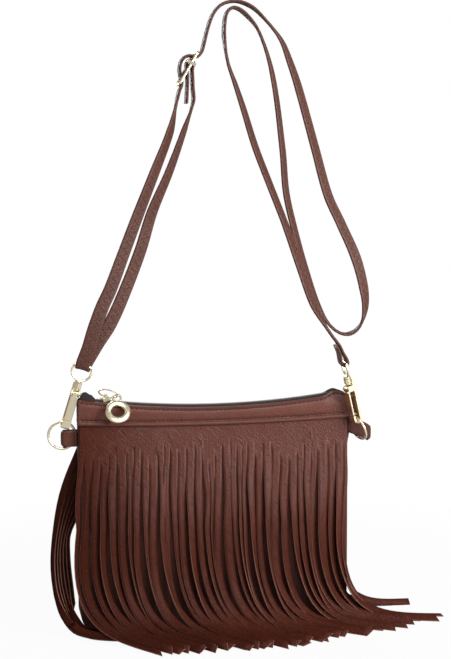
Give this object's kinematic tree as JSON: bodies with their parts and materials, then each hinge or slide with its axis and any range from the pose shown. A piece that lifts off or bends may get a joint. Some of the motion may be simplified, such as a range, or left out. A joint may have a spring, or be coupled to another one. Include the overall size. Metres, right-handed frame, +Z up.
{
  "type": "fringed bag",
  "caption": "Small zipped crossbody pouch in brown leather with a long fringe on both faces and an adjustable strap on snap hooks.",
  "frame": {"origin": "on the floor, under the middle of the bag's flat base", "axes": "+Z up, +X to the right of a viewer who faces the bag's front, -Y out of the front"},
  "size_m": [0.3523, 0.1334, 0.5512],
  "materials": {
    "brown_leather": "soft sheen, lightly pebbled",
    "band_leather": "soft sheen, lightly pebbled",
    "strap_leather": "satin, pebbled",
    "lining_cloth": "plain weave",
    "zip_tape": "matt black",
    "zip_coil": "matt black",
    "pale_gold": "polished, pale gold plate"
  },
  "bodies": {
    "bag": {"front_panel": "brown_leather", "back_panel": "brown_leather", "side_gusset": "brown_leather", "lining": "lining_cloth", "front_band": "band_leather", "back_band": "band_leather", "front_fringe": "brown_leather", "back_fringe": "brown_leather", "zip_tape_front": "zip_tape", "zip_tape_back": "zip_tape", "zip_chain_front": "zip_coil", "zip_chain_back": "zip_coil", "zip_bottom_stop": "zip_coil", "zip_top_stop_front": "zip_coil", "zip_top_stop_back": "zip_coil", "left_tab": "brown_leather", "right_tab": "brown_leather", "left_hook_eye": "pale_gold", "right_hook_eye": "pale_gold", "strap": "strap_leather", "strap_adjuster": "pale_gold"},
    "slider": {"zip_slider": "pale_gold"},
    "slider_ring": {"zip_ring": "pale_gold"},
    "pull": {"zip_pull": "pale_gold"},
    "ring_left": {"left_ring": "pale_gold"},
    "ring_right": {"right_ring": "pale_gold"},
    "hook_left": {"left_hook": "pale_gold", "left_gate_pin": "pale_gold"},
    "hook_right": {"right_hook": "pale_gold", "right_gate_pin": "pale_gold"},
    "gate_left": {"left_hook_gate": "pale_gold"},
    "gate_right": {"right_hook_gate": "pale_gold"}
  },
  "joints": [
    {"name": "zip_slide", "type": "hinge", "parent": "bag", "child": "slider", "pos_m": [0, 0, 0.9548], "axis": [0, -1, 0], "range_deg": [0, 14.4]},
    {"name": "zip_ring_swing", "type": "hinge", "parent": "slider", "child": "slider_ring", "pos_m": [-0.09522, 0, 0.21067], "axis": [0.9511, 0, -0.309], "range_deg": [-40, 0]},
    {"name": "pull_swing", "type": "hinge", "parent": "slider_ring", "child": "pull", "pos_m": [-0.08633, -0.00636, 0.21164], "axis": [1, 0, 0], "range_deg": [-20, 0]},
    {"name": "left_ring_swing", "type": "hinge", "parent": "bag", "child": "ring_left", "pos_m": [-0.1218, 0, 0.17794], "axis": [-0.5776, 0, 0.8163], "range_deg": [-4, 4]},
    {"name": "right_ring_swing", "type": "hinge", "parent": "bag", "child": "ring_right", "pos_m": [0.1233, 0, 0.184], "axis": [0.18, -0.9288, 0.324], "range_deg": [-4, 0]},
    {"name": "left_swivel", "type": "hinge", "parent": "bag", "child": "hook_left", "pos_m": [-0.1142, 0, 0.2385], "axis": [0.2987, 0, 0.9543], "range_deg": [-3, 8]},
    {"name": "right_swivel", "type": "hinge", "parent": "bag", "child": "hook_right", "pos_m": [0.11328, -0.01718, 0.23858], "axis": [-0.2417, -0.0826, 0.9668], "range_deg": [-8, 8]},
    {"name": "left_gate_hinge", "type": "hinge", "parent": "hook_left", "child": "gate_left", "pos_m": [-0.12159, -0.0026, 0.21488], "axis": [0.9543, 0, -0.2987], "range_deg": [0, 8], "stiffness_Nm_per_rad": 0.02, "springref_deg": -17.19},
    {"name": "right_gate_hinge", "type": "hinge", "parent": "hook_right", "child": "gate_right", "pos_m": [0.11693, -0.01606, 0.21399], "axis": [0.3659, -0.9306, 0.012], "range_deg": [0, 8], "stiffness_Nm_per_rad": 0.02, "springref_deg": -17.19}
  ]
}
